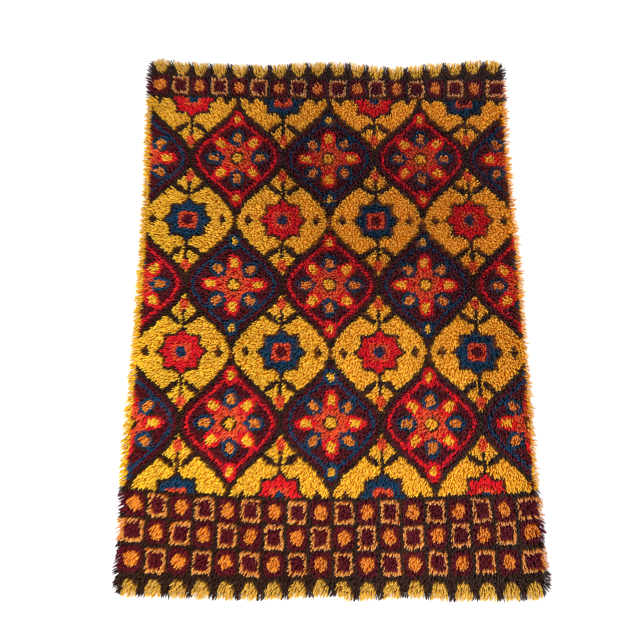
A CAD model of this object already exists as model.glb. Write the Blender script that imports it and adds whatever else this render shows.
# %% [markdown]
# A rya rug, lying flat
#
# A rya is a plain woven wool cloth with long yarn ends knotted into it, row after row, until the
# cloth is hidden. It could be made as a hair system on a plane, but then there are no real faces
# to export. This lesson builds the rug as its maker does: a thin ground weave, then about
# seventy-three thousand single yarn ends. Each is a small bent tube with its own lean, length
# and shade, and all of them are worked out as whole numpy arrays.
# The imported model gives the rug's real size and place, so it is loaded first.

import math
from collections import namedtuple

import bpy
import numpy as np
from mathutils import Matrix, Vector


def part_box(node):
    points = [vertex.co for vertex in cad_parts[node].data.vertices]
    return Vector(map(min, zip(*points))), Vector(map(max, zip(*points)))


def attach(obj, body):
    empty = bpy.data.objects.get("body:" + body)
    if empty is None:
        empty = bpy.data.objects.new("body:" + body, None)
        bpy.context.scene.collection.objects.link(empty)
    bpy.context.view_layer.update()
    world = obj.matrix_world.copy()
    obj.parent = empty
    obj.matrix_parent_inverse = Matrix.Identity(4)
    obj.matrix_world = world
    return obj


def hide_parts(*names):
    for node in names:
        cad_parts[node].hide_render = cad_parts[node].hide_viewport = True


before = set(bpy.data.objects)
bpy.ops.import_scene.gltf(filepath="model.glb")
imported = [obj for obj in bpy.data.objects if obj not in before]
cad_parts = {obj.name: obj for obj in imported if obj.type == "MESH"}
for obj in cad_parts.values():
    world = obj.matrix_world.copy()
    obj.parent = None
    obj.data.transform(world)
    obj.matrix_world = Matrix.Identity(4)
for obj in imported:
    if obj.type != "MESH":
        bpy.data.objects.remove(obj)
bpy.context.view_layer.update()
rug_low, rug_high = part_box("rug")
print("rug box in metres:", [round(high - low, 3) for low, high in zip(rug_low, rug_high)])

# %% [markdown]
# The line of the yarn tips
#
# The rug isn't a true rectangle. Hand work pulls it in and out by a few millimetres, and the upper
# part is a little narrower. A drawn curve could follow its rim, but two short tables are easier
# to read and to change. They hold the line that the outermost yarn tips reach, and straight runs
# between their rows give every other place.

# %% The tip line
SideReach = namedtuple("SideReach", "along left right")
SIDES = (
    SideReach(-0.95, 0.707, 0.708),
    SideReach(-0.73, 0.702, 0.705),
    SideReach(-0.60, 0.710, 0.698),
    SideReach(-0.30, 0.697, 0.699),
    SideReach(-0.02, 0.690, 0.697),
    SideReach(0.13, 0.690, 0.698),
    SideReach(0.45, 0.686, 0.688),
    SideReach(0.62, 0.693, 0.685),
    SideReach(0.95, 0.697, 0.692),
)
EndReach = namedtuple("EndReach", "across bottom top")
ENDS = (
    EndReach(-0.66, 1.004, 1.026),
    EndReach(-0.54, 1.005, 1.008),
    EndReach(-0.23, 1.015, 1.001),
    EndReach(0.01, 1.004, 1.017),
    EndReach(0.06, 1.019, 1.014),
    EndReach(0.24, 1.008, 0.993),
    EndReach(0.40, 1.018, 1.012),
    EndReach(0.64, 1.016, 1.032),
)
BOX_MIDDLE = np.array([0.0008, 0.0056])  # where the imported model's origin lies in these tables
print("rows in the two tables:", len(SIDES), "and", len(ENDS))


# %% Reading the tables
def column(table, name):
    """One named column of a table, as an array."""
    return np.array([getattr(row, name) for row in table])


def tip_x(y, side):
    """x of the tip line on the left or right at y, read between the table's rows."""
    reach = np.interp(y, column(SIDES, "along"), column(SIDES, side))
    return -reach if side == "left" else reach


def tip_y(x, end):
    """y of the tip line at the bottom or top at x, in the same way."""
    reach = np.interp(x, column(ENDS, "across"), column(ENDS, end))
    return -reach if end == "bottom" else reach


print("from tips to tips across the middle:", round(tip_x(0.0, "right") - tip_x(0.0, "left"), 3))

# %% [markdown]
# Where the knots stop
#
# The knots stop short of the tip line by the length that the outer yarns hang over, which is more
# at the top, where the pile stands. One rule for the whole rim would be simpler, but then one
# side would come out short. The corners are drawn in a little, as a woven rug's are.

# %% Where the knots stop
OVERHANGS = {"left": 0.0115, "right": 0.0145, "bottom": 0.0125, "top": 0.026}
KNOTTED_WIDE = rug_high[0] - rug_low[0] - OVERHANGS["left"] - OVERHANGS["right"]
KNOTTED_LONG = rug_high[1] - rug_low[1] - OVERHANGS["bottom"] - OVERHANGS["top"]
OUTER_COLUMN = 0.68  # x of the outermost knots, for reading the table of the ends
CORNER_CUT = 0.010
CORNER_ACROSS = 0.94  # the shares of the half width and half length where a corner begins
CORNER_ALONG = 0.96
print("knotted part in metres:", round(KNOTTED_WIDE, 3), round(KNOTTED_LONG, 3))


# %% The rims of the knotted part
def rim_x(y, side):
    """x of the outermost knots at y: the tip line, less that side's overhang."""
    inward = OVERHANGS["left"] if side == "left" else -OVERHANGS["right"]
    return tip_x(y, side) + inward


def rim_y(x, end):
    """y of the outermost knots at x, in the same way."""
    inward = OVERHANGS["bottom"] if end == "bottom" else -OVERHANGS["top"]
    return tip_y(x, end) + inward


def on_rug(across, along):
    """The point at these shares, from -1 to 1, between the rims.

    y is blended between the two ends, then x between the two sides at that y. Near a corner
    both are drawn in by CORNER_CUT times the product of how close each share is to 1.
    """
    bottom = rim_y(across * OUTER_COLUMN, "bottom")
    top = rim_y(across * OUTER_COLUMN, "top")
    y = 0.5 * (top + bottom) + along * 0.5 * (top - bottom)
    left = rim_x(y, "left")
    right = rim_x(y, "right")
    x = 0.5 * (right + left) + across * 0.5 * (right - left)
    near_side = np.clip((np.abs(across) - CORNER_ACROSS) / (1.0 - CORNER_ACROSS), 0.0, 1.0)
    near_end = np.clip((np.abs(along) - CORNER_ALONG) / (1.0 - CORNER_ALONG), 0.0, 1.0)
    drawn_in = CORNER_CUT * near_side * near_end
    return x - np.sign(across) * drawn_in, y - np.sign(along) * drawn_in


print("upper right corner of the knots:", [round(float(v), 3) for v in on_rug(1.0, 1.0)])

# %% [markdown]
# The camera
#
# The view is from beyond the end with three rows of blocks, a little to the left of the middle,
# steeply down. A camera can be set by eye, but the outline then never quite fits. Here its place,
# its three turns and its lens are numbers worked out from where the rug's four edges should fall.

# %% The camera
CAMERA_PLACE = (-0.113, -1.264, 3.350)
CAMERA_PITCH = 70.15  # degrees below the horizon
CAMERA_ROLL = 3.59
CAMERA_YAW = -3.61
FOCAL_PIXELS = 1000.0
PICTURE_PIXELS = 640.0
SENSOR = 36.0


def add_object(name, data):
    """A new object in the scene, with this data."""
    made = bpy.data.objects.new(name, data)
    bpy.context.scene.collection.objects.link(made)
    return made


def make_camera():
    """Turns about the camera's own axis first, then tilts it, then turns it about the vertical."""
    data = bpy.data.cameras.new("camera")
    data.sensor_width = SENSOR
    data.lens = SENSOR * FOCAL_PIXELS / PICTURE_PIXELS
    camera = add_object("camera", data)
    place = Vector(CAMERA_PLACE) - Vector((BOX_MIDDLE[0], BOX_MIDDLE[1], 0.0))
    turn = Matrix.Rotation(math.radians(CAMERA_YAW), 4, "Z")
    tilt = Matrix.Rotation(math.radians(90.0 - CAMERA_PITCH), 4, "X")
    roll = Matrix.Rotation(math.radians(CAMERA_ROLL), 4, "Z")
    camera.matrix_world = Matrix.Translation(place) @ turn @ tilt @ roll
    bpy.context.scene.camera = camera
    return camera


print("lens in millimetres:", round(make_camera().data.lens, 2))

# %% [markdown]
# Light and floor
#
# Large soft lamps and a pale world give an even light with hardly a shadow. A single lamp would
# leave the far end dim, and shade beside the rim, so a weaker one answers it from the far right.
# The floor is one plain pale square that runs out of the picture on all sides. A backdrop that
# curves up would do as well, but no view here needs one. A faint glow keeps it white.

# %% Lamps and world
Lamp = namedtuple("Lamp", "place aim size power")
LAMPS = {
    "near_lamp": Lamp((-1.2, -2.2, 3.2), (0.0, -0.2, 0.0), 1.5, 222.0),
    "far_lamp": Lamp((1.6, 1.8, 3.4), (0.0, 0.2, 0.0), 2.6, 74.0),
}
WORLD = {"Color": (1.0, 0.99, 0.985, 1.0), "Strength": 0.45}


def set_inputs(node, values):
    """Sets a node's own sockets, by their names."""
    for name, value in values.items():
        node.inputs[name].default_value = value


def make_lamp(name, lamp):
    """A square soft lamp at its place, facing its aim."""
    data = bpy.data.lights.new(name, "AREA")
    data.size = lamp.size
    data.energy = lamp.power
    place = Vector(lamp.place)
    facing = (Vector(lamp.aim) - place).to_track_quat("-Z", "Y").to_matrix().to_4x4()
    add_object(name, data).matrix_world = Matrix.Translation(place) @ facing


for name, lamp in LAMPS.items():
    make_lamp(name, lamp)
world = bpy.data.worlds.new("studio")
world.use_nodes = True
set_inputs(world.node_tree.nodes["Background"], WORLD)
bpy.context.scene.world = world
bpy.context.scene.view_settings.view_transform = "Standard"
print("lamps:", ", ".join(LAMPS))

# %% The floor
FLOOR_HALF = 30.0
FLOOR_LEVEL = -0.0006
FLOOR_FINISH = {
    "Base Color": (0.90, 0.89, 0.89, 1.0),
    "Roughness": 0.8,
    "Emission Color": (1.0, 0.99, 0.99, 1.0),
    "Emission Strength": 0.14,
}


def new_material(name, finish):
    """A material with plain numbers for its finish, and its node tree and shader."""
    material = bpy.data.materials.new(name)
    material.use_nodes = True
    shader = material.node_tree.nodes["Principled BSDF"]
    set_inputs(shader, finish)
    return material, material.node_tree, shader


def make_floor():
    """One large pale square just under the rug."""
    ways = ((-1, -1), (1, -1), (1, 1), (-1, 1))
    corners = [(x * FLOOR_HALF, y * FLOOR_HALF, FLOOR_LEVEL) for x, y in ways]
    mesh = bpy.data.meshes.new("floor")
    mesh.from_pydata(corners, [], [(0, 1, 2, 3)])
    mesh.materials.append(new_material("pale_floor", FLOOR_FINISH)[0])
    floor = add_object("floor", mesh)
    return floor


print("floor:", round(make_floor().dimensions.x, 1), "metres wide")

# %% [markdown]
# Soft noise
#
# Noise gives the hand-made look: tufts that part from each other, slow swells, shade bands from
# one dye bath to the next. A random number for each yarn can't do that, because neighbouring
# yarns have to move together. Blender's own noise could, but numpy reads a small net of random
# values for all yarns at once, and smooths between them.

# %% Soft noise over the rug
Noise = namedtuple("Noise", "size seed")  # the net's cell in metres, and which random values
NET_HALF = 2.0
NET_SPARE = 4
TRIAL_PLACES = 500  # how many places each small trial of a formula reads


def soft_noise(x, y, noise):
    """Smooth noise from -1 to 1. Random values stand on a square net of the noise's size.

    Between its four nearest net values, a place takes a blend by the weights
    3 t^2 - 2 t^3 of its distances t across and along the net's cell.
    """
    cells = int(2.0 * NET_HALF / noise.size) + NET_SPARE
    net = np.random.default_rng(noise.seed).uniform(-1.0, 1.0, (cells, cells))
    u = (x + NET_HALF) / noise.size
    v = (y + NET_HALF) / noise.size
    i = np.floor(u).astype(int)
    j = np.floor(v).astype(int)
    s = u - i
    t = v - j
    s = s * s * (3.0 - 2.0 * s)
    t = t * t * (3.0 - 2.0 * t)
    low = net[i, j] * (1.0 - s) + net[i + 1, j] * s
    high = net[i, j + 1] * (1.0 - s) + net[i + 1, j + 1] * s
    return low * (1.0 - t) + high * t


def noise_pair(x, y, pair):
    """Two noises side by side, as a small shift in x and in y."""
    return np.stack([soft_noise(x, y, noise) for noise in pair], axis=-1)


def ease(value, start, stop):
    """0 before start and 1 after stop, with a smooth step between."""
    t = np.clip((value - start) / (stop - start), 0.0, 1.0)
    return t * t * (3.0 - 2.0 * t)


trial = soft_noise(np.linspace(-0.7, 0.7, TRIAL_PLACES), np.zeros(TRIAL_PLACES), Noise(0.05, 1))
print("a trial of the noise runs from", round(trial.min(), 2), "to", round(trial.max(), 2))

# %% [markdown]
# The end bands
#
# A rya maker works from a squared chart, knot by knot. Such a chart could be typed in as rows of
# letters, but formulas are shorter and fit any number of knots: each yarn asks them for its
# colour. The two ends carry a common old repeat of blocks 77 mm apart, a dot on a dark square and
# then a hollow square, in turn. Larger half dots stand along the rim. The rows bow a little
# upwards at the sides, and noise shifts each edge, as no hand-knotted row is true.

# %% The yarns
YARNS = ("brown", "gold", "straw", "amber", "orange", "vermilion", "red", "maroon", "blue")
BROWN, GOLD, STRAW, AMBER, ORANGE, VERMILION, RED, MAROON, BLUE = range(len(YARNS))
print(len(YARNS), "yarns")

# %% Sizes of the end bands
BLOCK_COLUMNS = 18
BLOCK_PITCH = 0.0770
HALF_WIDTH = 0.706  # the tip line's half width that the pitch belongs to
HOLLOW_OUTER = 0.0310
HOLLOW_INNER = 0.0216
SQUARE_HALF = 0.0340
DOT_RADIUS = 0.0205
BLOCK_TALLER = 1.20
EndDots = namedtuple("EndDots", "inside wide tall")
BOTTOM_DOTS = EndDots(0.010, 0.0262, 0.041)
TOP_DOTS = EndDots(0.020, 0.0285, 0.052)
OUTER_EDGE = 0.5 * (BLOCK_COLUMNS - 1) * BLOCK_PITCH  # past this, a cell is stretched to the rim
LEFT_STRETCH = 0.80
RIGHT_STRETCH = 0.62
OUTER_HALF = 0.0295
BlockRow = namedtuple("BlockRow", "along first_is_hollow left_lift right_lift")
BLOCK_ROWS = (
    BlockRow(0.886, False, 0.012, 0.004),
    BlockRow(-0.740, False, 0.038, 0.017),
    BlockRow(-0.823, True, 0.034, 0.026),
    BlockRow(-0.908, False, 0.023, 0.012),
)
BAND_WOBBLE = 0.0030
BAND_NOISES = (Noise(0.08, 33), Noise(0.08, 34))
print("blocks in all:", BLOCK_COLUMNS * len(BLOCK_ROWS))


# %% Bowed rows, and one yarn over another
def bowed(x, left_lift, right_lift):
    """How far a row is drawn up at x: a share x^2 of the lift at that side, with x = 1 at the rim."""
    return (x / HALF_WIDTH) ** 2 * np.where(x < 0.0, left_lift, right_lift)


def paint(yarn, place, new):
    """Sets the yarn over a place, to one yarn or to an array of them."""
    yarn[place] = new[place] if isinstance(new, np.ndarray) else new


print("lift of the lowest row at its left end:", float(bowed(-HALF_WIDTH, *BLOCK_ROWS[-1][2:])))


# %% The yarn at each place in the end bands
def band_yarn(x, y):
    """The yarn at each place in the end bands.

    A hollow square is where the larger of |x| and |y| stays under its half width, and the
    squares behind the dots have rounder corners, by the fourth root of x^4 + y^4. The columns
    keep their share of the rug's width, so they stand closer where the rug is narrower.
    """
    yarn = np.full(x.shape, BROWN)
    wobble = BAND_WOBBLE * noise_pair(x, y, BAND_NOISES)
    left, right = tip_x(y, "left"), tip_x(y, "right")
    level_x = (x - 0.5 * (left + right)) / (0.5 * (right - left)) * HALF_WIDTH + wobble[:, 0]
    number = np.round(level_x / BLOCK_PITCH + 0.5 * (BLOCK_COLUMNS - 1))
    number = np.clip(number, 0, BLOCK_COLUMNS - 1)
    dot_dx = level_x - (number - 0.5 * (BLOCK_COLUMNS - 1)) * BLOCK_PITCH
    dx = np.where(level_x < -OUTER_EDGE, np.maximum(dot_dx * LEFT_STRETCH, -OUTER_HALF), dot_dx)
    dx = np.where(level_x > OUTER_EDGE, np.minimum(dx * RIGHT_STRETCH, OUTER_HALF), dx)
    for row in BLOCK_ROWS:
        middle = row.along + bowed(x, row.left_lift, row.right_lift)
        dy = (y - middle + wobble[:, 1]) / BLOCK_TALLER
        square = np.maximum(np.abs(dx), np.abs(dy))
        hollow = (number % 2 == 1) != row.first_is_hollow
        paint(yarn, ~hollow & ((dx**4 + dy**4) ** 0.25 < SQUARE_HALF), MAROON)
        paint(yarn, ~hollow & (np.hypot(dx, dy) < DOT_RADIUS), ORANGE)
        paint(yarn, hollow & (square < HOLLOW_OUTER), AMBER)
        paint(yarn, hollow & (square < HOLLOW_INNER), MAROON)
    for middle, dots in (
        (tip_y(x, "bottom") + BOTTOM_DOTS.inside, BOTTOM_DOTS),
        (tip_y(x, "top") - TOP_DOTS.inside, TOP_DOTS),
    ):
        paint(yarn, np.hypot(dot_dx / dots.wide, (y - middle) / dots.tall) < 1.0, STRAW)
    return yarn


trial_x = np.linspace(-0.6, 0.6, TRIAL_PLACES)
trial = band_yarn(trial_x, np.full(TRIAL_PLACES, BLOCK_ROWS[0].along))
print("yarns across one row of blocks:", ", ".join(YARNS[yarn] for yarn in np.unique(trial)))

# %% [markdown]
# Flowers and stars
#
# The field is filled with two motifs that many woven and knotted cloths share, an eight-petalled
# flower and an eight-pointed star on a stem. They could be drawn as curves and filled, but a
# place only has to know whether it lies inside, which a formula says at once. Every motif is
# laid over the last, from its outline in to its heart, as a knitter's chart is coloured.

# %% Petals
PETALS = 8
FLOWER_REACH = 0.128
PETAL_FULLNESS = 0.85  # under 1, a petal is widest nearer to its start than to its end
OUTSIDE = 9.0
ALMOST = 1e-6  # keeps a petal's width just above nothing at its two ends
Ring = namedtuple("Ring", "start end half")
LONG_PETALS = Ring(0.046, 0.122, 0.0275)
SHORT_PETALS = Ring(0.018, 0.064, 0.0165)


def petal_share(dx, dy, ring, turn):
    """Where each place lies in a ring of petals: under 1 is inside a petal.

    The angle is folded into one petal's sector. Across the petal, the distance from its middle
    line is divided by half times the square root of sin(pi t^PETAL_FULLNESS), with t from 0 at
    the ring's start to 1 at its end. Also gives t, and the petal's number.
    """
    radius = np.hypot(dx, dy)
    sector = 2.0 * math.pi / PETALS
    angle = np.arctan2(dx, dy) + turn * sector
    fold = (angle + 0.5 * sector) % sector - 0.5 * sector
    t = (radius - ring.start) / (ring.end - ring.start)
    inside = (t > 0.0) & (t < 1.0)
    full = np.sin(math.pi * np.clip(t, ALMOST, 1.0 - ALMOST) ** PETAL_FULLNESS)
    width = ring.half * np.sqrt(full)
    share = np.where(inside, np.abs(radius * np.sin(fold)) / width, OUTSIDE)
    count = np.floor((angle + 0.5 * sector) / sector).astype(int) % PETALS
    return share, t, count


trial_y = np.linspace(0.0, FLOWER_REACH, TRIAL_PLACES)
trial = petal_share(np.zeros(TRIAL_PLACES), trial_y, LONG_PETALS, 0.0)[0]
print("share of a line up the flower that lies in a long petal:", (trial < 1.0).mean().round(2))

# %% A flower
PETAL_OUTLINE = 1.30
PETAL_HEART = 0.52
HEART_START = 0.28
HEART_END = 0.76
CORE_OUTLINE = 0.027
CORE_RADIUS = 0.019
Bud = namedtuple("Bud", "wide tall away")
FLOWER_BUD = Bud(0.024, 0.034, 0.166)
BUD_HEART = 0.48


def bud_share(dx, dy, bud):
    """Under 1 inside two ellipses, above and below the middle."""
    return np.hypot(dx / bud.wide, (np.abs(dy) - bud.away) / bud.tall)


def flower_yarn(yarn, place, dx, dy, swapped):
    """Lays a flower over the cells in place: long petals, short ones, a core and two buds."""
    radius = np.hypot(dx, dy)
    disc = place & (radius < FLOWER_REACH)
    share, t, count = petal_share(dx, dy, LONG_PETALS, 0.0)
    cool = (count % 2 == 0) != swapped
    heart = (share < PETAL_HEART) & (t > HEART_START) & (t < HEART_END)
    paint(yarn, disc & (share < PETAL_OUTLINE), BROWN)
    paint(yarn, disc & (share < 1.0), np.where(cool, BLUE, RED))
    paint(yarn, disc & heart, np.where(cool, ORANGE, GOLD))
    share = petal_share(dx, dy, SHORT_PETALS, 0.5)[0]
    paint(yarn, disc & (share < 1.0), VERMILION)
    paint(yarn, disc & (radius < CORE_OUTLINE), BROWN)
    paint(yarn, disc & (radius < CORE_RADIUS), GOLD)
    bud = bud_share(dx, dy, FLOWER_BUD)
    paint(yarn, place & (bud < 1.0), np.where(swapped, BLUE, RED))
    paint(yarn, place & (bud < BUD_HEART), GOLD)


print("a flower is", round(2.0 * LONG_PETALS.end, 3), "metres across")

# %% A star
STAR_OUTLINE = 0.0660
STAR_SIZE = 0.0560
INNER_UPRIGHT = 0.0330
INNER_TURNED = 0.0420
STAR_CORE = 0.0200
Stem = namedtuple("Stem", "half start end")
STEM = Stem(0.0062, 0.060, 0.170)
Leaf = namedtuple("Leaf", "aside away slant long wide")
LEAF = Leaf(0.036, 0.128, 0.85, 0.034, 0.0125)
STAR_BUD = Bud(0.0165, 0.022, 0.180)
Lozenge = namedtuple("Lozenge", "aside wide tall")
LOZENGE = Lozenge(0.126, 0.015, 0.026)


def star_yarn(yarn, place, dx, dy, swapped):
    """Lays an eight-pointed star with four leaves and two buds over the cells in place.

    A star is all that lies in one square or in the same square turned by 45 degrees. A leaf is
    an ellipse that slants away from the stem. The distances are folded, so what is placed once
    shows at all four corners.
    """
    across, up = np.abs(dx), np.abs(dy)
    upright = np.maximum(across, up)
    turned = (across + up) * math.sqrt(0.5)
    star = np.minimum(upright, turned)
    stem = (across < STEM.half) & (up > STEM.start) & (up < STEM.end)
    along = (across - LEAF.aside) * math.sin(LEAF.slant) + (up - LEAF.away) * math.cos(LEAF.slant)
    beside = (across - LEAF.aside) * math.cos(LEAF.slant) - (up - LEAF.away) * math.sin(LEAF.slant)
    leaf = np.hypot(along / LEAF.long, beside / LEAF.wide) < 1.0
    lozenge = (np.abs(across - LOZENGE.aside) / LOZENGE.wide + up / LOZENGE.tall) < 1.0
    paint(yarn, place & (stem | leaf | lozenge), BROWN)
    paint(yarn, place & (bud_share(dx, dy, STAR_BUD) < 1.0), VERMILION)
    paint(yarn, place & (star < STAR_OUTLINE), BROWN)
    paint(yarn, place & (star < STAR_SIZE), np.where(swapped, BLUE, RED))
    paint(yarn, place & (upright < INNER_UPRIGHT) & (turned < INNER_TURNED), VERMILION)
    paint(yarn, place & (np.hypot(dx, dy) < STAR_CORE), np.where(swapped, MAROON, BLUE))


print("a star is", round(2.0 * STAR_SIZE * math.sqrt(2.0), 3), "metres from point to point")

# %% [markdown]
# The field's lattice
#
# The motifs sit in a lattice of ogees, the pointed ovals of many old cloths. One wavy line,
# mirrored and shifted, bounds both the dark ogees with flowers and the gold ones with stars, so
# only one formula is needed, where a drawing would need every oval.

# %% Sizes of the field
FIELD_BOTTOM = -0.690
FIELD_TOP = 0.836
BOTTOM_LIFTS = (0.038, 0.022)
TOP_LIFTS = (0.010, 0.000)
OGEE_WIDE = 0.345
OGEES_ALONG = 3
OGEE_TALL = (FIELD_TOP - FIELD_BOTTOM) / OGEES_ALONG
FIELD_MIDDLE = 0.5 * (FIELD_BOTTOM + FIELD_TOP)
LATTICE_HALF = 0.0080
LINE_START = 0.0210  # a thin coloured line runs between these distances inside a dark ogee's edge
LINE_STOP = 0.0320
MARGIN_WIDE = 0.022
FIELD_WOBBLE = 0.0035
FIELD_NOISES = (Noise(0.11, 31), Noise(0.13, 32))
print("an ogee is", OGEE_WIDE, "by", round(OGEE_TALL, 3), "metres")


# %% The yarn at each place in the field
def field_yarn(x, y):
    """The yarn at each place in the field.

    Two sets of ogees share one wavy line. With a and b the distances from the nearest main
    cell's middle, as shares of half its width and height, the line is a = (1 + cos(pi b)) / 2.
    Its distance in metres is the gap in a times half the width, over the line's own slant.
    """
    from_side = np.minimum(x - tip_x(y, "left"), tip_x(y, "right") - x)
    x = x + FIELD_WOBBLE * soft_noise(x, y, FIELD_NOISES[0])
    y = y + FIELD_WOBBLE * soft_noise(x, y, FIELD_NOISES[1])
    i = np.round(x / OGEE_WIDE)
    j = np.round((y - FIELD_MIDDLE) / OGEE_TALL)
    dx = x - i * OGEE_WIDE
    dy = y - FIELD_MIDDLE - j * OGEE_TALL
    a = np.abs(dx) / (0.5 * OGEE_WIDE)
    b = np.abs(dy) / (0.5 * OGEE_TALL)
    gap = 0.5 * (1.0 + np.cos(math.pi * b)) - a
    slope = 0.5 * math.pi * np.sin(math.pi * b) * OGEE_WIDE / OGEE_TALL
    away = np.abs(gap) * 0.5 * OGEE_WIDE / np.sqrt(1.0 + slope**2)
    dark = gap > 0.0
    yarn = np.where(dark, MAROON, GOLD)
    swapped = (i + j) % 2 == 1
    paint(yarn, dark & (away > LINE_START) & (away < LINE_STOP), np.where(swapped, BLUE, RED))
    flower_yarn(yarn, dark, dx, dy, swapped)
    beside_x = np.abs(dx) - 0.5 * OGEE_WIDE
    beside_y = np.abs(dy) - 0.5 * OGEE_TALL
    other = np.floor((y - FIELD_MIDDLE) / OGEE_TALL) + np.floor(x / OGEE_WIDE)
    star_yarn(yarn, ~dark, beside_x, beside_y, other % 2 == 0)
    paint(yarn, away < LATTICE_HALF, BROWN)
    paint(yarn, from_side < MARGIN_WIDE, GOLD)
    return yarn


trial = field_yarn(trial_x, np.zeros(TRIAL_PLACES))
print("yarns across the middle:", ", ".join(YARNS[yarn] for yarn in np.unique(trial)))


# %% The whole pattern
def pattern_yarn(x, y):
    """The field between the end bands, and the bands elsewhere."""
    low = FIELD_BOTTOM + bowed(x, *BOTTOM_LIFTS)
    high = FIELD_TOP + bowed(x, *TOP_LIFTS)
    return np.where((y > low) & (y < high), field_yarn(x, y), band_yarn(x, y))


trial = pattern_yarn(np.zeros(TRIAL_PLACES), np.linspace(-1.0, 1.0, TRIAL_PLACES))
print("changes of colour up the middle:", int((np.diff(trial) != 0).sum()))

# %% [markdown]
# The knots
#
# On the real ground, knots stand in rows with some weft between them, and each knot holds several
# yarn ends. They could be copied on such a grid, but its lines would show through the pile. Here
# every yarn end has its own knot place, closer together: every second row is half a pitch over,
# and each place is a little off, as the maker's hand leaves it.

# %% Set the knots
KNOT_PITCH = 0.0062
KNOT_SCATTER = 0.20  # as a share of the pitch
KNOT_SEED = 11


def set_knots(rng):
    """A place at every pitch both ways, every second row half a pitch over, each a little off."""
    count_x = int(round(KNOTTED_WIDE / KNOT_PITCH))
    count_y = int(round(KNOTTED_LONG / KNOT_PITCH))
    across, along = np.meshgrid(np.arange(count_x), np.arange(count_y))
    across = across + 0.5 * (along % 2)
    across = across + rng.normal(0.0, KNOT_SCATTER, across.shape)
    along = along + rng.normal(0.0, KNOT_SCATTER, across.shape)
    across = np.clip(2.0 * across / (count_x - 0.5) - 1.0, -1.0, 1.0).ravel()
    along = np.clip(2.0 * along / (count_y - 1.0) - 1.0, -1.0, 1.0).ravel()
    return on_rug(across, along)


rng = np.random.default_rng(KNOT_SEED)
knot_x, knot_y = set_knots(rng)
count = len(knot_x)
print("knot places:", count)

# %% [markdown]
# How the pile leans
#
# Wool stands up from its knot, then bows over. Most of this pile leans towards the lower left
# corner, stands nearly upright in the upper middle, and turns outwards near the rim, where the
# last yarns have no neighbour to lean on and drop to the floor. It could be combed by hand in
# sculpt mode. A table of leans at twenty places does it in a few lines that can be read, and
# every yarn reads its own lean between them.

# %% The lean at each place
Lean = namedtuple("Lean", "along left middle inner_right right")
LEANS = (
    Lean(-1.00, (-0.45, -0.72), (-0.42, -0.72), (-0.28, -0.75), (0.12, -0.72)),
    Lean(-0.50, (-0.55, -0.62), (-0.45, -0.65), (-0.35, -0.70), (0.00, -0.62)),
    Lean(0.00, (-0.60, -0.38), (-0.30, -0.50), (-0.30, -0.50), (0.05, -0.45)),
    Lean(0.45, (-0.52, -0.10), (-0.05, -0.28), (0.00, -0.25), (0.08, -0.22)),
    Lean(1.00, (-0.35, 0.05), (0.00, -0.10), (0.03, -0.12), (0.10, -0.05)),
)
LEAN_PLACES = (-0.70, 0.0, 0.42, 0.70)


def field_lean(x, y):
    """The pile's lean at each place, by straight lines between the table's rows and columns."""
    rows = column(LEANS, "along")
    lean = np.zeros((len(x), 2))
    for part in (0, 1):
        for place, name in enumerate(Lean._fields[1:]):
            hat = np.interp(x, LEAN_PLACES, np.eye(len(LEAN_PLACES))[place])
            lean[:, part] += hat * np.interp(y, rows, column(LEANS, name)[:, part])
    return lean


lean = field_lean(knot_x, knot_y)
print("lean of the field, from", lean.min(axis=0).round(2), "to", lean.max(axis=0).round(2))

# %% The pull of the rims
RIM_PULL_LENGTH = 0.012
RIM_ZONE = 0.040
TINY = 1e-9  # keeps a division by a length of nothing away


def outward(x, y):
    """The way out of the rug at each place, and the distance to the nearest rim.

    Each rim pulls with the weight exp(-distance / RIM_PULL_LENGTH), so a corner pulls to both
    sides.
    """
    across = [x - rim_x(y, "left"), rim_x(y, "right") - x]
    along = [y - rim_y(x, "bottom"), rim_y(x, "top") - y]
    gaps = np.stack(across + along, axis=-1)
    ways = np.array([(-1.0, 0.0), (1.0, 0.0), (0.0, -1.0), (0.0, 1.0)])
    pull = np.exp(-gaps / RIM_PULL_LENGTH) @ ways
    pull = pull / np.maximum(np.linalg.norm(pull, axis=-1, keepdims=True), TINY)
    return pull, gaps.min(axis=-1)


way_out, rim_gap = outward(knot_x, knot_y)
rim_pull = 1.0 - ease(rim_gap, 0.0, RIM_ZONE)
print("knots within the pull of a rim:", int((rim_pull > 0.0).sum()))

# %% [markdown]
# Clumps, tufts and drifts
#
# Neighbours in a long pile hold together: they share a lean in clumps of a few yarns, in tufts
# and in slow drifts. A brush could part them by hand, but three soft noises of different size,
# added to the table's lean, do it alike all over, and each yarn strays a little by itself. At
# the rim the yarns are splayed outwards, some hardly and some fully, so that they lie over each
# other and not in one layer.

# %% Clumps, tufts and drifts
CLUMPS = (Noise(0.011, 48), Noise(0.011, 49))
TUFTS = (Noise(0.021, 41), Noise(0.021, 42))
DRIFTS = (Noise(0.075, 43), Noise(0.075, 44))
CLUMP_LEAN = 0.05
TUFT_LEAN = 0.06
DRIFT_LEAN = 0.08
STRAY = 0.07

clump = noise_pair(knot_x, knot_y, CLUMPS)
tuft = noise_pair(knot_x, knot_y, TUFTS)
drift = noise_pair(knot_x, knot_y, DRIFTS)
lean = lean + CLUMP_LEAN * clump + TUFT_LEAN * tuft + DRIFT_LEAN * drift
lean = lean + rng.normal(0.0, STRAY, (count, 2))
print("mean lean before the rim:", round(float(np.linalg.norm(lean, axis=-1).mean()), 3))

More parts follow.
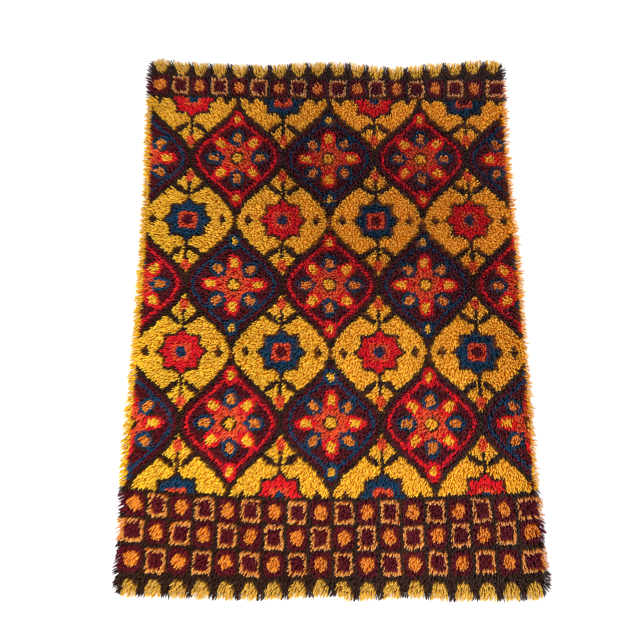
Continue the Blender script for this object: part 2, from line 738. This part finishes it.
# %% The splayed rim
NEAR_SPREAD = (0.78, 1.00)  # how far the yarns of the left and the bottom rim are turned out
FAR_SPREAD = (0.98, 1.05)  # and those of the right and the top, where the pile stands upright
Splay = namedtuple("Splay", "least more")
TOP_SPLAY = Splay(0.42, 0.48)
BOTTOM_SPLAY = Splay(0.36, 0.54)
SIDE_SPLAY = Splay(0.15, 0.85)
SPLAY_FADE = 1.8  # over 1, so that few yarns are fully splayed
FACES_END = 0.7  # past this, the way out is towards the top or bottom
ROUGH = 0.32  # how much the clumps turn the yarns at the rim
ROUGH_FAR = 0.14  # added at the top and right, taken away at the bottom and left
RIM_TUFT = 0.20
RIM_STRAY = 0.10
RIM_FADE = 1.5

splay = rng.uniform(0.0, 1.0, count) ** SPLAY_FADE
splay = np.select(
    [way_out[:, 1] > FACES_END, way_out[:, 1] < -FACES_END],
    [TOP_SPLAY.least + TOP_SPLAY.more * splay, BOTTOM_SPLAY.least + BOTTOM_SPLAY.more * splay],
    SIDE_SPLAY.least + SIDE_SPLAY.more * splay,
)
rim_rough = ROUGH + ROUGH_FAR * way_out.sum(axis=1)
rim_way = way_out * np.where(way_out < 0.0, NEAR_SPREAD, FAR_SPREAD)
rim_way = rim_way + rim_rough[:, None] * clump + RIM_TUFT * tuft
rim_way = rim_way + rng.normal(0.0, RIM_STRAY, (count, 2))
lean = lean + (rim_pull**RIM_FADE * splay)[:, None] * rim_way
lean_size = np.linalg.norm(lean, axis=-1)
aim = lean / np.maximum(lean_size, TINY)[:, None]
print("mean lean:", round(float(lean_size.mean()), 3))

# %% [markdown]
# No two yarn ends alike
#
# No two yarn ends were cut or dyed alike. A hair system would give each a random length and shade,
# but not by the place where it stands. Here each gets its own length, tilts, sway and thickness,
# and three marks that its colour will read: its own tone, the dye bath of its patch, and how far
# it belongs to a second lot of the same dye, which comes in towards the upper right. Yarns at the
# sides are darker in tone, as in shade.

# %% Each yarn's length and bend
YARN_LONG = 0.0278
YARN_RADIUS = 0.00215
LONGER_PATCHES = Noise(0.06, 45)
PATCH_LENGTH = 0.07  # the lengths' changes, as shares of YARN_LONG
LENGTH_STRAY = 0.045
RIM_LENGTH = 0.10
RIM_LENGTHS = (-0.6, 1.0)  # at the rim, RIM_LENGTH is taken between these times
START_TILT = 0.55  # tilts in radians for a full lean, and their limits
END_TILT = 1.70
TILT_STRAY = 0.10
START_LIMITS = (0.02, 0.85)
END_LIMITS = (0.12, 1.65)
SWAY_STRAY = 0.0022
PLUMP_STRAY = 0.06

yarn_long = 1.0 + PATCH_LENGTH * soft_noise(knot_x, knot_y, LONGER_PATCHES)
yarn_long = yarn_long + rng.normal(0.0, LENGTH_STRAY, count)
yarn_long = YARN_LONG * (yarn_long + RIM_LENGTH * rim_pull * rng.uniform(*RIM_LENGTHS, count))
start_tilt = np.clip(START_TILT * lean_size, *START_LIMITS)
end_tilt = np.clip(END_TILT * lean_size + rng.normal(0.0, TILT_STRAY, count), *END_LIMITS)
sway = rng.normal(0.0, SWAY_STRAY, count)
spin = rng.uniform(0.0, 2.0 * math.pi, count)
plump = rng.normal(1.0, PLUMP_STRAY, count)
print("yarn lengths in metres:", yarn_long.min().round(4), "to", yarn_long.max().round(4))

# %% Each yarn's shade
TONE_STRAY = 0.20
SIDE_SHADE = 0.36
BATHS = Noise(0.09, 46)
LOTS = Noise(0.30, 47)
LOT_SLOPE = 0.36
LOT_ACROSS = 0.7  # the second lot grows by LOT_SLOPE over this distance across, or a metre along
LOT_DRIFT = 0.12

tone = 0.5 + rng.normal(0.0, TONE_STRAY, count) - SIDE_SHADE * rim_pull * np.abs(way_out[:, 0])
tone = np.clip(tone, 0.0, 1.0)
bath = 0.5 + 0.5 * soft_noise(knot_x, knot_y, BATHS)
lot = 0.5 + LOT_SLOPE * knot_x / LOT_ACROSS + LOT_SLOPE * knot_y
lot = np.clip(lot + LOT_DRIFT * soft_noise(knot_x, knot_y, LOTS), 0.0, 1.0)
print("mean tone, bath and lot:", [round(float(mark.mean()), 2) for mark in (tone, bath, lot)])

# %% [markdown]
# From a middle line to a tube
#
# A yarn end's middle line is a circular arc: it leaves the knot at one tilt from the vertical and
# ends at a larger one. A curve object with a bevel would give such a tube, but seventy-three
# thousand of them would take minutes. Here rings of three points are set square to the line, and
# a single point closes it at the knot and at the tip. The outermost yarns bend furthest and are
# seen best, so they get more rings.

# %% The middle lines
KNOT_HEIGHT = 0.0026
FLOOR_CLEAR = 0.0022
LEAST_BEND = 0.05


def yarn_lines(pick, shares):
    """Points and directions along the middle lines of the picked yarns.

    With the tilt growing evenly from p to q over the length L, the arc's reach to tilt r is
    L (cos p - cos r) / (q - p), and its height is L (sin r - sin p) / (q - p).
    """
    p = start_tilt[pick][:, None]
    q = np.maximum(end_tilt[pick][:, None], p + LEAST_BEND)
    long = yarn_long[pick][:, None]
    r = p + (q - p) * shares[None, :]
    reach = long * (np.cos(p) - np.cos(r)) / (q - p)
    height = KNOT_HEIGHT + long * (np.sin(r) - np.sin(p)) / (q - p)
    way = aim[pick]
    beside = np.stack([-way[:, 1], way[:, 0]], axis=-1)
    bend = sway[pick][:, None] * shares[None, :] ** 2
    x = knot_x[pick][:, None] + reach * way[:, :1] + bend * beside[:, :1]
    y = knot_y[pick][:, None] + reach * way[:, 1:] + bend * beside[:, 1:]
    points = np.stack([x, y, np.maximum(height, FLOOR_CLEAR)], axis=-1)
    heading = np.stack([np.sin(r) * way[:, :1], np.sin(r) * way[:, 1:], np.cos(r)], axis=-1)
    return points, heading, np.repeat(beside[:, None, :], len(shares), axis=1)


tips = yarn_lines(np.arange(count), np.array([1.0]))[0]
print("highest yarn tip in metres:", round(float(tips[..., 2].max()), 4))

# %% Rings round the middle lines
SIDES_ROUND = 3
SKIN_CLEAR = 0.0004
Station = namedtuple("Station", "along radius")
PILE_STATIONS = (Station(0.0, 0.0), Station(0.38, 1.0), Station(0.87, 0.90), Station(1.0, 0.0))
RIM_STATIONS = (
    Station(0.0, 0.0),
    Station(0.22, 1.06),
    Station(0.48, 1.12),
    Station(0.72, 1.10),
    Station(0.93, 0.92),
    Station(1.0, 0.0),
)


def yarn_points(pick, stations):
    """The points of each picked yarn: its knot, its rings and its tip.

    A ring's point at angle f is the middle point plus radius (cos f b + sin f n), with b level
    and square to the yarn, and n square to both.
    """
    line, heading, beside = yarn_lines(pick, column(stations, "along"))
    widths = column(stations, "radius")[1:-1] * YARN_RADIUS
    level = np.concatenate([beside, np.zeros(beside.shape[:2] + (1,))], axis=-1)
    square = np.cross(heading, level)
    turn = spin[pick][:, None] + np.arange(SIDES_ROUND)[None, :] * (2.0 * math.pi / SIDES_ROUND)
    turn = turn[:, None, :, None]
    thick = (plump[pick][:, None] * widths[None, :])[:, :, None, None]
    ring = line[:, 1:-1, None, :] + thick * (
        np.cos(turn) * level[:, 1:-1, None, :] + np.sin(turn) * square[:, 1:-1, None, :]
    )
    ring[..., 2] = np.maximum(ring[..., 2], SKIN_CLEAR)
    return np.concatenate([line[:, :1, :], ring.reshape(len(pick), -1, 3), line[:, -1:, :]], axis=1)


print("points of a pile yarn:", yarn_points(np.arange(1), PILE_STATIONS).shape[1])


# %% The faces of a yarn
def yarn_faces(rings):
    """One yarn's faces of four between its rings, and of three round its tip and its knot."""
    k = np.arange(SIDES_ROUND)
    after = (k + 1) % SIDES_ROUND
    first = 1 + np.arange(rings - 1)[:, None] * SIDES_ROUND
    above = first + SIDES_ROUND
    wall = np.stack([first + k, first + after, above + after, above + k], axis=-1).reshape(-1, 4)
    last = 1 + (rings - 1) * SIDES_ROUND
    tip = np.stack([last + k, last + after, np.full(SIDES_ROUND, last + SIDES_ROUND)], axis=-1)
    knot = np.stack([1 + after, 1 + k, np.zeros(SIDES_ROUND, int)], axis=-1)
    return wall, np.concatenate([tip, knot])


for stations in (PILE_STATIONS, RIM_STATIONS):
    wall, ends = yarn_faces(len(stations) - 2)
    print("a yarn with", len(stations) - 2, "rings has", 2 * len(wall) + len(ends), "triangles")

# %% [markdown]
# A map along each yarn
#
# The two plies of a yarn twist round each other, and the twist follows the yarn wherever it
# bends. So each yarn carries a map of its own surface, turns round it against its length.
# Blender could unwrap the yarns, but it wouldn't know which way they run.

# %% Each yarn's own map
def yarn_maps(shares):
    """One yarn's own map, for its walls and then its two ends, in the order of yarn_faces.

    u is the share of a turn round the yarn, and v is the share of its length.
    """
    step = 1.0 / SIDES_ROUND
    k = np.arange(SIDES_ROUND)[:, None] / SIDES_ROUND

    def faces(turns, levels):
        """One face for each side round the yarn, from its corners' turns and levels."""
        u = k + np.array(turns)
        return np.stack([u, np.broadcast_to(levels, u.shape)], axis=-1)

    around = (0.0, step, step, 0.0)
    pairs = zip(shares[1:-2], shares[2:-1])
    wall = np.concatenate([faces(around, (low, low, high, high)) for low, high in pairs])
    tip = faces((0.0, step, 0.5 * step), (shares[-2], shares[-2], 1.0))
    knot = faces((step, 0.0, 0.5 * step), (shares[1], shares[1], 0.0))
    return wall.reshape(-1, 2), np.concatenate([tip, knot]).reshape(-1, 2)


wall, ends = yarn_maps(column(PILE_STATIONS, "along"))
print("map corners of a pile yarn:", len(wall), "on its walls and", len(ends), "on its ends")


# %% A block of yarns
def yarn_block(pick, stations):
    """The picked yarns as whole arrays: points, faces, marks, maps and each corner's yarn."""
    shares = column(stations, "along")
    rings = len(stations) - 2
    points = yarn_points(pick, stations)
    total, each = points.shape[:2]
    start = (np.arange(total) * each)[:, None, None]
    wall, ends = yarn_faces(rings)
    wall_map, end_map = yarn_maps(shares)
    share = np.concatenate([shares[:1], np.repeat(shares[1:-1], SIDES_ROUND), shares[-1:]])
    return {
        "points": points.reshape(-1, 3),
        "quads": (wall[None] + start).reshape(-1, 4),
        "tris": (ends[None] + start).reshape(-1, 3),
        "along": np.tile(share, total),
        "tone": np.repeat(tone[pick], each),
        "bath": np.repeat(bath[pick], each),
        "lot": np.repeat(lot[pick], each),
        "wall_map": np.tile(wall_map, (total, 1)),
        "wall_yarn": np.repeat(np.arange(total), len(wall_map)),
        "end_map": np.tile(end_map, (total, 1)),
        "end_yarn": np.repeat(np.arange(total), len(end_map)),
    }


trial = yarn_block(np.arange(4), PILE_STATIONS)
print("four yarns have", len(trial["points"]), "points and", len(trial["end_map"]), "end corners")

# %% [markdown]
# One mesh of many yarns
#
# An object for each yarn would stop Blender, and a modifier that copies one yarn couldn't bend
# each its own way. So the arrays of all yarns of one colour are joined and put into one mesh in
# a few calls. A second map, for baking, gives every yarn a small cell of its own.

# %% Putting arrays into a mesh
CELL_TURNS = (0.07, 0.86)  # where a yarn's turns start in its cell, and how much they fill
CELL_LENGTH = (0.05, 0.90)
MARKS = ("along", "tone", "bath", "lot")


def fill_mesh(name, points, quads, tris):
    """A mesh from whole arrays, its faces of four first and then those of three."""
    mesh = bpy.data.meshes.new(name)
    corners = np.concatenate([quads.ravel(), tris.ravel()]).astype(np.int32)
    sizes = np.concatenate([np.full(len(quads), 4), np.full(len(tris), 3)])
    starts = np.concatenate([[0], np.cumsum(sizes)[:-1]]).astype(np.int32)
    mesh.vertices.add(len(points))
    mesh.vertices.foreach_set("co", points.astype(np.float32).ravel())
    mesh.loops.add(len(corners))
    mesh.loops.foreach_set("vertex_index", corners)
    mesh.polygons.add(len(sizes))
    mesh.polygons.foreach_set("loop_start", starts)
    mesh.update(calc_edges=True)
    mesh.shade_smooth()
    return mesh


def add_map(mesh, name, places):
    """A named UV map from one place for each face corner."""
    mesh.uv_layers.new(name=name).uv.foreach_set("vector", places.astype(np.float32).ravel())


def lay_bake_map(own, numbers, total):
    """Gives each yarn its own small cell of one square map, twice as tall as it is wide."""
    columns = int(math.ceil(math.sqrt(2.0 * total)))
    rows = int(math.ceil(total / columns))
    u = (numbers % columns + CELL_TURNS[0] + CELL_TURNS[1] * own[:, 0]) / columns
    v = (numbers // columns + CELL_LENGTH[0] + CELL_LENGTH[1] * own[:, 1]) / rows
    return np.stack([u, v], axis=-1)


trial = lay_bake_map(np.array([[0.0, 0.0], [1.0, 1.0]]), np.array([0, 7]), 8)
print("the cells of eight yarns reach from", trial.min().round(2), "to", trial.max().round(2))


# %% A pile of one colour
def joined(blocks, key, steps=None):
    """One array of all blocks, each raised by its own step where steps are given."""
    steps = steps if steps is not None else np.zeros(len(blocks), int)
    return np.concatenate([block[key] + step for block, step in zip(blocks, steps)])


def make_pile(name, groups, material):
    """One mesh of yarns from groups of (picked yarns, stations), with its marks and maps."""
    groups = [(pick, stations) for pick, stations in groups if len(pick)]
    blocks = [yarn_block(pick, stations) for pick, stations in groups]
    first_points = np.cumsum([0] + [len(block["points"]) for block in blocks])
    first_yarns = np.cumsum([0] + [len(pick) for pick, stations in groups])
    points = joined(blocks, "points")
    points[:, :2] -= BOX_MIDDLE
    quads = joined(blocks, "quads", first_points)
    mesh = fill_mesh(name, points, quads, joined(blocks, "tris", first_points))
    for mark in MARKS:
        values = joined(blocks, mark).astype(np.float32)
        mesh.attributes.new(mark, "FLOAT", "POINT").data.foreach_set("value", values)
    own = np.concatenate([joined(blocks, "wall_map"), joined(blocks, "end_map")])
    numbers = [joined(blocks, key, first_yarns) for key in ("wall_yarn", "end_yarn")]
    add_map(mesh, "OFBake", lay_bake_map(own, np.concatenate(numbers), first_yarns[-1]))
    add_map(mesh, "ply", own)
    mesh.materials.append(material)
    return add_object(name, mesh)


print("marks on every yarn:", ", ".join(MARKS))

# %% [markdown]
# Small helpers for shader nodes
#
# Materials can be wired by hand in the shader editor. In a script, a few helpers that each make
# one node and give back its output keep the wiring as short as a formula.

# %% Helpers for numbers
def link(tree, from_socket, to_socket):
    """Joins two sockets."""
    tree.links.new(from_socket, to_socket)


def feed(tree, value, socket):
    """Sets a socket to a number or a colour, or joins another socket to it."""
    if isinstance(value, (int, float, tuple)):
        socket.default_value = value
    else:
        link(tree, value, socket)


def maths(tree, operation, *values):
    """A Math node on numbers or sockets, and its output."""
    node = tree.nodes.new("ShaderNodeMath")
    node.operation = operation
    for socket, value in zip(node.inputs, values):
        feed(tree, value, socket)
    return node.outputs[0]


def ramp(tree, value, start, stop, top=1.0, smooth=False):
    """A Map Range node, from 0 at start to top at stop, and its output."""
    node = tree.nodes.new("ShaderNodeMapRange")
    if smooth:
        node.interpolation_type = "SMOOTHSTEP"
    set_inputs(node, {"From Min": start, "From Max": stop, "To Max": top})
    link(tree, value, node.inputs["Value"])
    return node.outputs[0]


def mark_value(tree, name):
    """The value of a named mark on the mesh."""
    node = tree.nodes.new("ShaderNodeAttribute")
    node.attribute_name = name
    return node.outputs["Fac"]


print("number helpers:", ", ".join(helper.__name__ for helper in (maths, ramp, mark_value)))

# %% Helpers for colours, noise and bump
MIX_INPUTS = (0, 6, 7)  # a Mix node's share and its two colours, among all of its sockets
MIX_OUTPUT = 2


def mix_colours(tree, share, first, second, way="MIX"):
    """A Mix node on colours, and its output."""
    node = tree.nodes.new("ShaderNodeMix")
    node.data_type = "RGBA"
    node.blend_type = way
    for place, value in zip(MIX_INPUTS, (share, first, second)):
        feed(tree, value, node.inputs[place])
    return node.outputs[MIX_OUTPUT]


def fine_noise(tree, scale, detail):
    """A Noise Texture on Object coordinates, and its value."""
    place = tree.nodes.new("ShaderNodeTexCoord")
    node = tree.nodes.new("ShaderNodeTexNoise")
    set_inputs(node, {"Scale": scale, "Detail": detail})
    link(tree, place.outputs["Object"], node.inputs["Vector"])
    return node.outputs["Fac"]


def set_bump(tree, shader, height, strength, distance):
    """A Bump node that feeds the shader's Normal."""
    bump = tree.nodes.new("ShaderNodeBump")
    set_inputs(bump, {"Strength": strength, "Distance": distance})
    link(tree, height, bump.inputs["Height"])
    link(tree, bump.outputs["Normal"], shader.inputs["Normal"])


print("surface helpers:", ", ".join(helper.__name__ for helper in (mix_colours, fine_noise, set_bump)))

# %% [markdown]
# Wool yarn
#
# Every yarn is the same spun wool in another dye, so one node group serves them all. Nine materials
# wired one by one would look the same, but each change would be made nine times. Down at the knot
# the yarn is deep and dark, as little light gets there, and its cut tip is pale. Each yarn has
# its own tone, whole patches are slightly paler or fuller, fine flecks are the mixed fibres, and
# the twist of the two plies shows as slanting ridges.

# %% The colour of a yarn
FACE_START = 0.15  # the shares of the length between which the deep colour turns into the face's
FACE_FULL = 0.86
TIP_START = 0.80
TIP_SHARE = 0.85
TONE_RANGE = 0.42
BATH_RANGE = 0.16
HUE_RANGE = 0.012
FLECK_SCALE = 700.0
INPUTS = ("Deep", "Face", "Tip", "Second lot")


def wool_colour(group, given, flecks):
    """Deep to face to tip along the yarn, then the dye lot, then its own brightness and hue.

    Brightness is 1 + TONE_RANGE (tone - 1/2) + BATH_RANGE (bath - 1/2) + Uneven times flecks.
    """
    along = mark_value(group, "along")
    rise = ramp(group, along, FACE_START, FACE_FULL, smooth=True)
    colour = mix_colours(group, rise, given.outputs["Deep"], given.outputs["Face"])
    end = ramp(group, along, TIP_START, 1.0, top=TIP_SHARE)
    colour = mix_colours(group, end, colour, given.outputs["Tip"])
    second = mix_colours(group, 1.0, colour, given.outputs["Second lot"], "MULTIPLY")
    colour = mix_colours(group, mark_value(group, "lot"), colour, second)
    own = maths(group, "SUBTRACT", mark_value(group, "tone"), 0.5)
    patch = maths(group, "SUBTRACT", mark_value(group, "bath"), 0.5)
    bright = maths(group, "MULTIPLY_ADD", own, TONE_RANGE, 1.0)
    bright = maths(group, "MULTIPLY_ADD", patch, BATH_RANGE, bright)
    bright = maths(group, "ADD", bright, maths(group, "MULTIPLY", flecks, given.outputs["Uneven"]))
    shade = group.nodes.new("ShaderNodeHueSaturation")
    link(group, maths(group, "MULTIPLY_ADD", own, HUE_RANGE, 0.5), shade.inputs["Hue"])
    link(group, bright, shade.inputs["Value"])
    link(group, colour, shade.inputs["Color"])
    return shade.outputs["Color"]


print("tone and dye bath change the brightness by up to", round(0.5 * (TONE_RANGE + BATH_RANGE), 2))


# %% The twist of a yarn, and the group
PLIES = 2.0
TWISTS = 4.5  # turns of the twist along a yarn
FIBRE_HEIGHT = 0.7
FLECK_DETAIL = 2.0


def ply_height(group, flecks):
    """A ridge for each ply: (1 + sin(2 pi PLIES (u + TWISTS v))) / 2, and the fibres on top."""
    own_map = group.nodes.new("ShaderNodeUVMap")
    own_map.uv_map = "ply"
    parts = group.nodes.new("ShaderNodeSeparateXYZ")
    link(group, own_map.outputs["UV"], parts.inputs[0])
    slant = maths(group, "MULTIPLY_ADD", parts.outputs["Y"], TWISTS, parts.outputs["X"])
    wave = maths(group, "SINE", maths(group, "MULTIPLY", slant, 2.0 * math.pi * PLIES))
    ridge = maths(group, "MULTIPLY_ADD", wave, 0.5, 0.5)
    return maths(group, "MULTIPLY_ADD", flecks, FIBRE_HEIGHT, ridge)


def wool_group():
    """The shared node group: four colours and an unevenness in, colour and ply height out."""
    group = bpy.data.node_groups.new("wool_yarn", "ShaderNodeTree")
    for name in INPUTS:
        group.interface.new_socket(name, in_out="INPUT", socket_type="NodeSocketColor")
    group.interface.new_socket("Uneven", in_out="INPUT", socket_type="NodeSocketFloat")
    group.interface.new_socket("Color", in_out="OUTPUT", socket_type="NodeSocketColor")
    group.interface.new_socket("Height", in_out="OUTPUT", socket_type="NodeSocketFloat")
    given = group.nodes.new("NodeGroupInput")
    made = group.nodes.new("NodeGroupOutput")
    flecks = maths(group, "SUBTRACT", fine_noise(group, FLECK_SCALE, FLECK_DETAIL), 0.5)
    link(group, wool_colour(group, given, flecks), made.inputs["Color"])
    link(group, ply_height(group, flecks), made.inputs["Height"])
    return group


wool = wool_group()
print("the wool group has", len(wool.nodes), "nodes")

# %% [markdown]
# The dyes
#
# Hand-dyed wool is never one flat colour. Each dye could be a colour ramp in its own material,
# but numbers that stand below each other are easier to compare and to match. So a dye is a row
# of five things: the deep colour at the knot, the colour of the yarn's face, the pale cut tip,
# what the second lot multiplies them by, and a slight sheen from loose hairs, which the dark
# yarns lack. The second lots are weaker or paler, most of all in the dark colours.

# %% The dyes
Dye = namedtuple("Dye", "deep face tip second_lot sheen")
SAME = (1.0, 1.0, 1.0)
DYES = {
    "brown": Dye(
        (0.010, 0.004, 0.002), (0.034, 0.014, 0.008), (0.055, 0.029, 0.020), (1.60, 2.10, 3.10), 0.0
    ),
    "gold": Dye(
        (0.640, 0.170, 0.000), (0.760, 0.448, 0.008), (0.860, 0.690, 0.160), (1.20, 0.89, 1.10), 0.01
    ),
    "straw": Dye(
        (0.280, 0.090, 0.002), (0.545, 0.300, 0.034), (0.665, 0.425, 0.140), (1.34, 1.38, 1.28), 0.02
    ),
    "amber": Dye(
        (0.460, 0.060, 0.000), (0.655, 0.240, 0.030), (0.860, 0.560, 0.250), (1.01, 1.01, 1.50), 0.02
    ),
    "orange": Dye(
        (0.490, 0.050, 0.000), (0.690, 0.208, 0.008), (0.850, 0.455, 0.130), (1.02, 0.89, 1.40), 0.02
    ),
    "vermilion": Dye(
        (0.360, 0.010, 0.002), (0.745, 0.068, 0.014), (0.835, 0.165, 0.095), SAME, 0.02
    ),
    "red": Dye(
        (0.320, 0.003, 0.004), (0.700, 0.007, 0.012), (0.780, 0.040, 0.062), (1.16, 1.00, 1.12), 0.02
    ),
    "maroon": Dye(
        (0.025, 0.001, 0.002), (0.094, 0.006, 0.010), (0.145, 0.028, 0.036), (1.15, 1.90, 2.00), 0.0
    ),
    "blue": Dye(
        (0.002, 0.008, 0.016), (0.010, 0.045, 0.099), (0.040, 0.096, 0.172), SAME, 0.0
    ),
}
print("dyes:", ", ".join(DYES))

# %% The dyed wools
WOOL_FINISH = {"Roughness": 0.88, "Specular IOR Level": 0.03, "Sheen Roughness": 0.45}
WOOL_UNEVEN = 0.30
PLY_BUMP = 0.45
PLY_DEPTH = 0.0006


def wool_material(yarn):
    """One dyed wool: the shared group for its colour and ply bump, and its own plain numbers."""
    dye = DYES[yarn]
    material, tree, shader = new_material(f"wool_{yarn}", WOOL_FINISH)
    shader.inputs["Sheen Weight"].default_value = dye.sheen
    spun = tree.nodes.new("ShaderNodeGroup")
    spun.node_tree = wool
    for name, colour in zip(INPUTS, dye[:4]):
        spun.inputs[name].default_value = (*colour, 1.0)
    spun.inputs["Uneven"].default_value = WOOL_UNEVEN
    link(tree, spun.outputs["Color"], shader.inputs["Base Color"])
    set_bump(tree, shader, spun.outputs["Height"], PLY_BUMP, PLY_DEPTH)
    return material


wools = [wool_material(yarn) for yarn in YARNS]
print("materials:", ", ".join(material.name for material in wools))

# %% [markdown]
# Knotting the pile
#
# The maker counts the pattern knot by knot, and the pile then falls over it. The colour could be
# read at the knot too, but the whole pattern would then lie a finger's width off. So each yarn
# takes the colour of the place where its visible part lies. The lean varies from yarn to yarn,
# which makes every colour edge ragged, as on the real rug. A colour with very many yarns is
# split into a lower and an upper mesh to keep each one light.

# %% Knot the pile
MOST_YARNS = 14500
SHOWN_SHARE = 0.62
RIM_ROWS = 0.016
COLOUR_STRAY = 0.0014

everyone = np.arange(count)
shown = yarn_lines(everyone, np.array([SHOWN_SHARE]))[0][:, 0]
shown_x = shown[:, 0] + rng.normal(0.0, COLOUR_STRAY, count)
shown_y = shown[:, 1] + rng.normal(0.0, COLOUR_STRAY, count)
yarn_of = pattern_yarn(shown_x, shown_y)
at_rim = rim_gap < RIM_ROWS
for number, yarn in enumerate(YARNS):
    mine = everyone[yarn_of == number]
    mine = mine[np.argsort(knot_y[mine], kind="stable")]
    parts = np.array_split(mine, int(math.ceil(len(mine) / MOST_YARNS)))
    for index, part in enumerate(parts):
        name = f"pile_{yarn}" if len(parts) == 1 else f"pile_{yarn}_{index + 1}"
        groups = [(part[~at_rim[part]], PILE_STATIONS), (part[at_rim[part]], RIM_STATIONS)]
        pile = make_pile(name, groups, wools[number])
        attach(pile, "root")
        print(name, len(part), "yarns,", len(pile.data.loops) - 2 * len(pile.data.polygons), "triangles")

# %% [markdown]
# The ground weave
#
# Seen from below, the rug is a plain cloth: weft ribs right across, with a slightly raised line
# where each row of knots is bound in. A flat plane with a picture of cloth would look the same
# from afar, but its rim would be open. This is a closed thin sheet worked out on a grid, with its
# ribs in the underside's shape and the threads in a bump. Its top, which shows only in the gaps
# of the pile, has the deep colours of the yarns that are knotted there.

# %% Sizes of the ground
GROUND_THICK = 0.0026
GROUND_CLEAR = 0.0002
RIB_PITCH = 0.0144
RIB_RISE = 0.0005
GROUND_COLUMNS = 60
CLOTH_COLOUR = (0.250, 0.180, 0.115)
SHARP_ANGLE = 50.0
GROUND_ROWS = 2 * int(KNOTTED_LONG / RIB_PITCH) + 1
print("weft ribs on the underside:", GROUND_ROWS // 2)


# %% The ground's faces
def grid_faces(rows, columns):
    """Faces of a closed sheet of two grids: underside, top, and the wall round their rim."""
    index = np.arange(rows * columns).reshape(rows, columns)
    corners = [index[:-1, :-1], index[:-1, 1:], index[1:, 1:], index[1:, :-1]]
    cell = np.stack(corners, axis=-1).reshape(-1, 4)
    loop = np.concatenate([index[0, :-1], index[:-1, -1], index[-1, :0:-1], index[:0:-1, 0]])
    following = np.roll(loop, -1)
    above = rows * columns
    rim = np.stack([loop, following, following + above, loop + above], axis=-1)
    return np.concatenate([cell[:, ::-1], cell + above, rim])


print("faces of a closed sheet on two grids of 3 by 3:", len(grid_faces(3, 3)))


# %% The ground sheet
def ground_sheet():
    """Two grids with one rim, and the colour of each place.

    Along the rug, every second row of the underside's grid is raised by RIB_RISE, so a rib
    repeats every RIB_PITCH. The top has the deep colour of the yarn that is knotted there, and
    the underside that of bare cloth.
    """
    shares = np.meshgrid(np.linspace(-1, 1, GROUND_COLUMNS), np.linspace(-1, 1, GROUND_ROWS))
    x, y = on_rug(shares[0].ravel(), shares[1].ravel())
    rib = RIB_RISE * (np.arange(GROUND_ROWS).repeat(GROUND_COLUMNS) % 2)
    low = np.stack([x, y, GROUND_CLEAR + rib], axis=-1)
    high = np.stack([x, y, np.full_like(x, GROUND_CLEAR + GROUND_THICK)], axis=-1)
    points = np.concatenate([low, high])
    points[:, :2] -= BOX_MIDDLE
    faces = grid_faces(GROUND_ROWS, GROUND_COLUMNS)
    mesh = fill_mesh("ground_weave", points, faces, np.zeros((0, 3), int))
    deep = np.array([DYES[yarn].deep for yarn in YARNS])[pattern_yarn(x, y)]
    colours = np.concatenate([np.tile(CLOTH_COLOUR, (len(x), 1)), deep])
    colours = np.concatenate([colours, np.ones((len(colours), 1))], axis=1)
    mark = mesh.attributes.new("cloth", "FLOAT_COLOR", "POINT")
    mark.data.foreach_set("color", colours.astype(np.float32).ravel())
    mesh.set_sharp_from_angle(angle=math.radians(SHARP_ANGLE))
    return mesh


ground_mesh = ground_sheet()
print("ground:", len(ground_mesh.polygons), "faces of four")

# %% [markdown]
# The ground cloth
#
# A plain weave is one thread over and one under, both ways. The threads are too fine to model, so
# the product of two sine waves gives their ridges, which the bump and the shade both read.

# %% The ground's cloth
WARP_PITCH = 0.0034
WEFT_PITCH = 0.0024
CLOTH_FINISH = {"Roughness": 0.92, "Specular IOR Level": 0.1}
CLOTH_FUZZ = 0.6
FUZZ_SCALE = 260.0
FUZZ_DETAIL = 3.0
SHADE_RANGE = 0.7  # how far the height changes the cloth's brightness, and where that starts
SHADE_LOW = 0.45
CLOTH_BUMP = 0.8
CLOTH_DEPTH = 0.0008


def ground_material():
    """Wool cloth, with height (1 + sin(2 pi x / warp) sin(2 pi y / weft)) / 2 plus some fuzz."""
    material, tree, shader = new_material("ground_cloth", CLOTH_FINISH)
    place = tree.nodes.new("ShaderNodeTexCoord")
    parts = tree.nodes.new("ShaderNodeSeparateXYZ")
    link(tree, place.outputs["Object"], parts.inputs[0])
    warp, weft = [
        maths(tree, "SINE", maths(tree, "MULTIPLY", parts.outputs[axis], 2.0 * math.pi / pitch))
        for axis, pitch in (("X", WARP_PITCH), ("Y", WEFT_PITCH))
    ]
    ridge = maths(tree, "MULTIPLY_ADD", maths(tree, "MULTIPLY", warp, weft), 0.5, 0.5)
    fuzz = fine_noise(tree, FUZZ_SCALE, FUZZ_DETAIL)
    height = maths(tree, "MULTIPLY_ADD", fuzz, CLOTH_FUZZ, ridge)
    cloth = tree.nodes.new("ShaderNodeAttribute")
    cloth.attribute_name = "cloth"
    shade = tree.nodes.new("ShaderNodeHueSaturation")
    bright = maths(tree, "MULTIPLY_ADD", height, SHADE_RANGE, SHADE_LOW)
    link(tree, bright, shade.inputs["Value"])
    link(tree, cloth.outputs["Color"], shade.inputs["Color"])
    link(tree, shade.outputs["Color"], shader.inputs["Base Color"])
    set_bump(tree, shader, height, CLOTH_BUMP, CLOTH_DEPTH)
    return material


ground_mesh.materials.append(ground_material())
print("weave repeats in 100 mm:", round(0.1 / WARP_PITCH), "across and", round(0.1 / WEFT_PITCH), "along")

# %% [markdown]
# Laying the ground
#
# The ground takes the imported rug's place, and the pile rides on it. A rug could be draped by a
# cloth simulation, but this one lies flat. So it is declared as a cut sheet that rests on the
# floor, with its flat size and with the yarn pieces that go where it goes.

# %% Lay the ground
ground = add_object("ground_weave", ground_mesh)
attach(ground, "root")
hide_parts("rug")
print("the ground is cut to", round(KNOTTED_WIDE, 3), "by", round(KNOTTED_LONG, 3), "metres")
